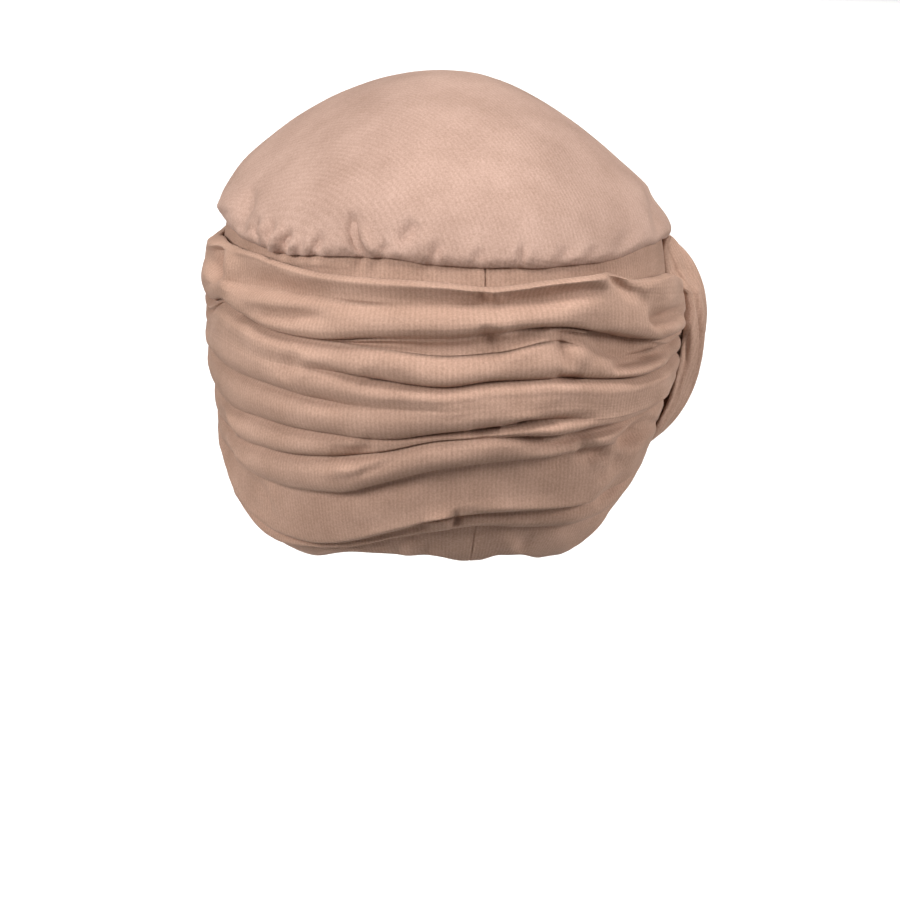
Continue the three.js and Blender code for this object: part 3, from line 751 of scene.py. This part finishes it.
# Height and stand-off of a roll at one part of the way from the crease above it to the one below.
# It comes out to its crest, sags over the crease below it, and where a crease is cut deep the
# roll starts with a narrow mouth under the roll above.
def roll_point(index, part, bearing):
    names = CREASES[index:index + 2]
    bulk = WRAP_BULK * at_bearing(FULLNESS, "bulk", bearing)
    full = at_bearing(FULLNESS, ROLLS[index], bearing)
    deep = [at_bearing(CREASE_DEPTHS, name, bearing) for name in names]
    turn = part ** CREST_AT.get(ROLLS[index], CREST_USUAL)
    side = 0 if turn < 0.5 else 1
    beside = ROLLS[min(max(index - 1 + 2 * side, 0), len(ROLLS) - 1)]
    fuller = np.maximum(full, at_bearing(FULLNESS, beside, bearing))
    lost = 1 - max(math.sin(math.pi * turn), 0) ** (1.6 - (1.2 - 0.6 * side) * deep[side])
    stand_off = bulk * (full + (fuller - full) * lost) * (1 - deep[side] * lost)
    sag = (0.06 + 0.66 * deep[1] ** 1.5) * (0.5 + 0.5 * part) + 0.35 * deep[0] * (1 - part) ** 2
    if index == 0:
        sag = LIP_STANDS * (0.5 + 0.5 * part)
    upper, lower = (at_bearing(CREASE_HEIGHTS, name, bearing) + CREASE_LIFT * cut ** 2
                    for name, cut in zip(names, deep))
    opening = np.clip((deep[0] - 0.35) / 0.5, 0, 1) * (1 - math.exp(-part / 0.03))
    mouth = CREASE_MOUTH * opening * (1 - part) ** 2
    return upper - (upper - lower) * (part + math.sin(math.pi * part) * sag) - mouth, stand_off


# Where the knot band sits and how big it is, because the rolls that run in under it give way.
KNOT_BEARING = -98
KNOT_LEVEL = -13
KNOT_HEIGHT = 80
KNOT_WIDTH = 64
KNOT_PROUD = 20.0
KNOT_WALL = 2.2
KNOT_CLEAR = 1.0
KNOT_FILLED = 0.85
PRESSED_LEAST = 1.8


# How far the knot band stands off the cap: most in its middle, less at its sides and its ends.
def knot_rise(across, along):
    past_wrap = np.clip((-along - 0.48) / 0.2, 0, 1)
    hump = 1 - (0.5 + 0.46 * past_wrap) * np.clip(np.abs(across), 0, 1) ** 2.2
    arch = np.sqrt(np.clip(1 - np.abs(along) ** 2.6, 0, 1))
    return np.maximum(FIT_GAP + KNOT_WALL, KNOT_PROUD * hump * arch)


def knot_half_width(along):
    return KNOT_WIDTH / 2 * (1 - np.where(np.asarray(along) < 0, 0.36, 0.46) * along * along)


def place_on_knot(bearing, z):
    along = np.clip((KNOT_LEVEL - z) / (KNOT_HEIGHT / 2), -1, 1)
    middle = cap_radius(KNOT_BEARING, z) + BAND_WALL + knot_rise(0.0, along)
    return np.radians(bearing - KNOT_BEARING) * middle / knot_half_width(along), along


# The rolls flatten as they come to the knot band, and bunch to fill it inside.
def pressed_by_knot(bearing, z, stand_off):
    across, along = place_on_knot(bearing, z)
    past = np.abs(across) - 1
    room = knot_rise(across, along) - KNOT_WALL - KNOT_CLEAR
    release = np.clip((past - 0.12) / 0.6, 0, 1)
    limit = np.where((past > 0.75) | (np.abs(along) >= 1), 1e3, room + WRAP_BULK * release ** 1.6)
    pressed = np.minimum(stand_off, np.maximum(limit, PRESSED_LEAST))
    inside = np.where(np.abs(along) >= 1, 0, np.clip((1 - np.abs(across)) / 0.4, 0, 1))
    return pressed + (np.maximum(pressed, room * KNOT_FILLED) - pressed) * inside


# The wrap and the knot band lie on the cap, and ride out over the crown's edge near its seam.
OVER_CROWN = CROWN_OVERHANG + 0.8
OVER_FROM = 7
OVER_WITHIN = 6


def on_crown(bearing, z):
    return np.clip((z - seam_height(bearing) + OVER_FROM) / OVER_WITHIN, 0, 1)


def under_wrap(bearing, z):
    return cap_radius(bearing, z) + BAND_WALL + OVER_CROWN * on_crown(bearing, z) ** 2


WRAP_FOLDS = [
    ("valley", 2.2, 8.0, [(212, 246), (215, 256), (217, 268), (222, 280)]),
    ("valley", 3.4, 2.0, [(210, 250), (216, 264), (221, 282)]),
    ("ridge", 2.8, 2.8, [(229, 250), (229, 272), (224, 294)]),
    ("ridge", 2.8, 2.4, [(204, 250), (205, 266), (210, 284)]),
    ("valley", 4.0, 1.6, [(242, 268), (260, 280), (290, 288), (350, 294)]),
    ("valley", 2.6, 3.6, [(238, 309), (266, 314), (300, 317), (334, 319)]),
    ("ridge", 2.6, 1.2, [(232, 296), (270, 301), (330, 305)]),
    ("tuck", 2.0, 2.0, [(300, 298), (340, 301), (400, 306), (450, 307), (480, 305)]),
    ("ridge", 2.0, 0.9, [(484, 291), (496, 297), (500, 306)]),
    ("valley", 2.0, 1.0, [(478, 290), (486, 298), (488, 306)]),
    ("valley", 4.0, 2.4, [(478, 330), (492, 338), (502, 348)]),
    ("ridge", 3.4, 1.8, [(476, 320), (500, 330), (514, 342)]),
    ("ridge", 3.0, 2.2, [(494, 355), (520, 350), (552, 336), (560, 330)]),
    ("valley", 3.2, 1.8, [(506, 342), (530, 338), (548, 330)]),
    ("tuck", 2.2, 3.6, [(546, 330), (580, 331), (612, 333), (640, 338), (668, 345)]),
    ("valley", 2.0, 2.4, [(556, 333), (562, 346), (568, 360), (574, 372)]),
    ("ridge", 3.6, 2.0, [(572, 340), (580, 352), (592, 364)]),
    ("valley", 5.0, 6.0, [(586, 344), (620, 350), (656, 350)]),
    ("valley", 2.2, 6.0, [(614, 368), (632, 364), (648, 359), (669, 348)]),
    ("tuck", 1.8, 3.0, [(616, 368), (632, 363), (648, 358), (669, 348)]),
    ("ridge", 2.4, 2.0, [(620, 374), (645, 369), (668, 360)]),
    ("ridge", 3.0, 1.4, [(590, 346), (604, 356), (620, 360)]),
    ("valley", 5.0, 2.2, [(644, 292), (653, 304), (664, 315), (682, 320)]),
    ("valley", 2.4, 1.8, [(650, 314), (664, 320), (682, 318)]),
    ("valley", 1.8, 1.4, [(638, 288), (644, 297), (649, 308)]),
    ("ridge", 4.0, 1.0, [(640, 286), (655, 281), (670, 285)]),
    ("valley", 2.0, 4.6, [(652, 323), (664, 322), (674, 317), (684, 308)]),
    ("ridge", 2.4, 2.0, [(668, 334), (678, 328), (684, 318)]),
    ("valley", 2.4, 4.4, [(606, 270), (617, 280), (628, 290), (640, 300)]),
    ("ridge", 2.6, 1.8, [(566, 286), (586, 280), (602, 282), (614, 292)]),
    ("ridge", 2.6, 1.4, [(560, 284), (584, 279), (606, 278), (618, 284)]),
    ("valley", 3.4, 2.0, [(500, 300), (540, 298), (580, 290), (604, 288)]),
    ("ridge", 3.4, 1.0, [(540, 312), (580, 306), (620, 308)]),
    ("valley", 1.4, 3.0, [(554, 376), (568, 379), (584, 378)]),
    ("valley", 4.0, 1.4, [(300, 355), (292, 366), (280, 378)]),
    ("ridge", 4.0, 1.4, [(312, 352), (304, 366), (290, 384)]),
    ("valley", 5.0, 1.2, [(360, 372), (380, 380), (400, 385)]),
    ("ridge", 5.0, 1.2, [(380, 366), (400, 360), (420, 364)]),
    ("valley", 3.0, 1.2, [(300, 398), (320, 402), (345, 406)]),
    ("tuck", 1.8, 2.0, [(505, 425), (525, 420), (545, 420), (562, 424)]),
    ("tuck", 2.0, 4.0, [(524, 434), (545, 440), (558, 440), (590, 429), (620, 424), (655, 411)]),
    ("valley", 1.2, 2.4, [(530, 436), (545, 440), (560, 440), (590, 429), (620, 424), (650, 412)]),
    ("ridge", 2.4, 1.4, [(530, 428), (552, 431), (580, 424)]),
    ("tuck", 2.0, 2.4, [(520, 463), (545, 461), (575, 455), (604, 446)]),
    ("valley", 2.0, 5.0, [(620, 446), (631, 438), (642, 428), (656, 417)]),
    ("valley", 3.4, 1.6, [(612, 446), (628, 436), (644, 428)]),
    ("ridge", 2.2, 2.4, [(584, 440), (604, 438), (618, 431), (634, 423)]),
    ("valley", 2.4, 3.6, [(576, 448), (594, 453), (610, 456)]),
    ("ridge", 2.2, 2.4, [(590, 462), (602, 464), (614, 470)]),
    ("valley", 2.4, 3.0, [(596, 480), (610, 470), (624, 456)]),
    ("ridge", 1.8, 1.6, [(626, 462), (638, 446), (648, 434), (657, 424)]),
    ("valley", 5.0, 1.6, [(520, 450), (560, 450), (596, 442)]),
    ("valley", 2.6, 2.4, [(468, 431), (484, 434), (500, 428)]),
    ("valley", 3.0, 2.0, [(330, 450), (352, 453), (376, 447)]),
    ("ridge", 3.0, 1.4, [(336, 443), (352, 444), (370, 439)]),
    ("ridge", 3.0, 1.4, [(330, 464), (345, 470), (362, 470)]),
    ("tuck", 1.6, 2.0, [(320, 478), (345, 476), (372, 466), (400, 456)]),
    ("valley", 1.5, 1.6, [(254, 480), (266, 492), (273, 514)]),
    ("ridge", 1.8, 1.6, [(262, 480), (272, 492), (279, 514)]),
    ("tuck", 1.5, 2.2, [(222, 405), (230, 425), (240, 440)]),
    ("tuck", 1.5, 2.2, [(226, 440), (242, 466), (260, 482)]),
    ("tuck", 1.5, 2.0, [(236, 494), (250, 512), (270, 528)]),
    ("valley", 7.0, 1.2, [(480, 470), (510, 484), (540, 494)]),
    ("valley", 6.0, 1.0, [(430, 478), (446, 490), (458, 502)]),
    ("ridge", 6.0, 1.2, [(330, 510), (380, 510), (430, 500)]),
    ("tuck", 1.8, 2.2, [(440, 516), (470, 511), (510, 511), (560, 509), (596, 504)]),
    ("valley", 2.0, 2.6, [(594, 506), (614, 488), (628, 472)]),
    ("ridge", 2.4, 1.6, [(588, 496), (606, 480), (622, 464)]),
    ("ridge", 2.2, 2.4, [(424, 520), (440, 521), (456, 521)]),
    ("valley", 1.4, 2.6, [(459, 510), (456, 520), (451, 531)]),
    ("tuck", 1.6, 1.8, [(330, 544), (365, 538), (400, 529), (432, 522)]),
    ("tuck", 1.6, 2.0, [(340, 551), (380, 545), (412, 536), (446, 531)]),
]


# Rows of the wrap's inner face, and how far each follows the hollow of the outer one.
INSIDE_ROWS = ((0, 1.0), (6, 1.0), (12, 0.9), (17, 0.25), (40, 0), (80, 0), (120, 0), (-1, 0))
LIP_RISE = 0.5
LIP_STEP = 0.3


def wrap_face(heights, stand_offs):
    return place(BEARINGS, under_wrap(BEARINGS, heights) + stand_offs, heights)


def make_wrap():
    steps = np.arange(ROLL_STEPS) / ROLL_STEPS
    parts = 0.45 * steps + 0.55 * (1 - np.cos(np.pi * steps)) / 2
    listed = [(i, float(part)) for i in range(len(ROLLS)) for part in parts]
    listed.append((len(ROLLS) - 1, 1.0))
    rolled = [roll_point(i, part, BEARINGS) for i, part in listed]
    heights, stand_offs = (np.stack(side) for side in zip(*rolled))
    base = wrap_face(heights, stand_offs)
    sway = unevenness(base * [1, 1, 0.35], 34, 0.8, 6)
    fullness = 1 + unevenness(base * [1, 1, 1.6], 30, 0.16, 7)
    at_edges = np.ones(len(listed))
    at_edges[:ROLL_STEPS] = np.linspace(0.4, 1, ROLL_STEPS)
    at_edges[-ROLL_STEPS:] = np.linspace(1, 0.3, ROLL_STEPS)
    heights = heights + sway * at_edges[:, None] * 0.8
    stand_offs = stand_offs * fullness
    base = wrap_face(heights, stand_offs)
    radial = place(BEARINGS, 1.0, 0.0)[None]
    folds = drawn_folds(base, (radial @ TOWARDS_CAMERA) + 0.1, WRAP_FOLDS)
    fine = unevenness(base * [1, 1, 2.2], 9, 0.22, 8)
    stand_offs = np.maximum(stand_offs + folds + fine, WRAP_LEAST)
    free = pressed_by_knot(BEARINGS[None], heights, stand_offs)
    outside = wrap_face(heights, free)
    rounding = under_wrap(BEARINGS, heights[0]) + free[0] - WRAP_CLOTH / 2
    lip = place(BEARINGS, rounding, heights[0] + LIP_RISE)[None]
    inside = []
    for row, hollow in INSIDE_ROWS:
        keep = np.maximum(free[row] - WRAP_CLOTH, FIT_GAP)
        z = heights[row] - (LIP_STEP if row == 0 else 0)
        inside.append(wrap_face(z, FIT_GAP + (keep - FIT_GAP) * hollow))
    rows = np.concatenate([outside, np.stack(inside[::-1]), lip])
    piece = cloth_round("wrap_jersey", rows, True, knit_map(rows, BEARINGS))
    finish_cloth(piece, jersey("brown_jersey_wrap"), "wrap")


make_wrap()


# Knot band: a gathered tube of jersey that goes round the bunched wrap over the right ear and is
# sewn to the cap at its two ends, so its pleats run up and down and draw together at both ends.
KNOT_FLAT_LENGTH = 110
KNOT_ACROSS = 110
KNOT_ALONG = 130


def knot_pleats(across, along):
    bend = across * (1 + 0.10 * np.sin(2.2 * along + 0.6)) + 0.06 * np.sin(3 * along)
    wave = np.abs(np.sin(np.pi * (2.4 * bend + 0.30)))
    broad = 3.2 * (wave ** 0.75 - 0.66)
    fine = 0.7 * np.sin(np.pi * (7.3 * bend + 0.9 * along))
    return (broad + fine) * np.clip(1 - along * along, 0, 1) ** 0.35


def knot_point(across, along, depth):
    z = KNOT_LEVEL - along * KNOT_HEIGHT / 2
    middle = cap_radius(KNOT_BEARING, z) + BAND_WALL + knot_rise(0.0, along)
    bearing = KNOT_BEARING + np.degrees(across * knot_half_width(along) / middle)
    rise = knot_rise(across, along)
    if depth == 0:
        rise = rise + knot_pleats(across, along)
    seat = cap_radius(bearing, z) + BAND_WALL + OVER_CROWN * on_crown(bearing, z)
    return place(bearing, seat + np.maximum(0.5, rise - depth), z)


KNOT_FOLDS = [
    ("valley", 1.3, 2.4, [(670, 232), (684, 256), (692, 284), (697, 312), (698, 340), (696, 366),
                          (686, 396)]),
    ("valley", 1.2, 2.2, [(667, 246), (676, 270), (684, 296), (687, 330), (685, 362), (676, 400),
                          (664, 428)]),
    ("ridge", 1.8, 0.8, [(672, 252), (684, 278), (691, 306), (692, 338), (688, 372)]),
    ("valley", 1.1, 1.8, [(664, 262), (672, 292), (676, 330), (674, 372), (664, 410)]),
    ("ridge", 1.6, 1.2, [(674, 244), (688, 270), (696, 300), (700, 330), (697, 356), (686, 384)]),
]


# The pleats that the picture shows are on the side towards the back, so they sink sideways there.
def creased(across, points):
    folds = drawn_folds(points[None], np.where(across > 0, 1.0, 0.0)[None], KNOT_FOLDS)[0]
    bearing = np.degrees(np.arctan2(points[:, 0], points[:, 1]))
    sideways = np.clip(across, 0, 1) ** 0.7
    way = place(bearing, 1 - sideways, 0.0) + place(bearing + 90, sideways, 0.0)
    return points + way * folds[:, None]


def make_knot_band():
    even = np.linspace(-1, 1, KNOT_ACROSS)
    across = 0.35 * np.sin(even * np.pi / 2) + 0.65 * even
    back_across = across[::-5]
    loops = []
    for along in -np.cos(np.linspace(0.02, np.pi - 0.02, KNOT_ALONG)):
        outside = creased(across, knot_point(across, along, 0))
        inside = creased(back_across, knot_point(back_across, along, KNOT_WALL))
        loops.append(np.concatenate([outside, inside]))
    count = len(loops[0])
    last = (KNOT_ALONG - 1) * count
    ends = [tuple(reversed(range(count))), tuple(range(last, last + count))]
    faces = grid_faces(KNOT_ALONG, count, False) + ends
    piece = add_cloth("knot_band_jersey", np.concatenate(loops), faces)
    bpy.ops.object.mode_set(mode="EDIT")
    bpy.ops.mesh.select_all(action="SELECT")
    bpy.ops.mesh.normals_make_consistent(inside=False)
    bpy.ops.object.mode_set(mode="OBJECT")
    layer = piece.data.uv_layers.new(name="knit")
    width = np.concatenate([across, back_across + 3]) * KNOT_WIDTH / 2000
    for corner in piece.data.loops:
        i, j = divmod(corner.vertex_index, count)
        layer.data[corner.index].uv = (width[j], i / KNOT_ALONG * KNOT_FLAT_LENGTH / 1000)
    finish_cloth(piece, jersey("brown_jersey_knot"), "knot_band")


make_knot_band()
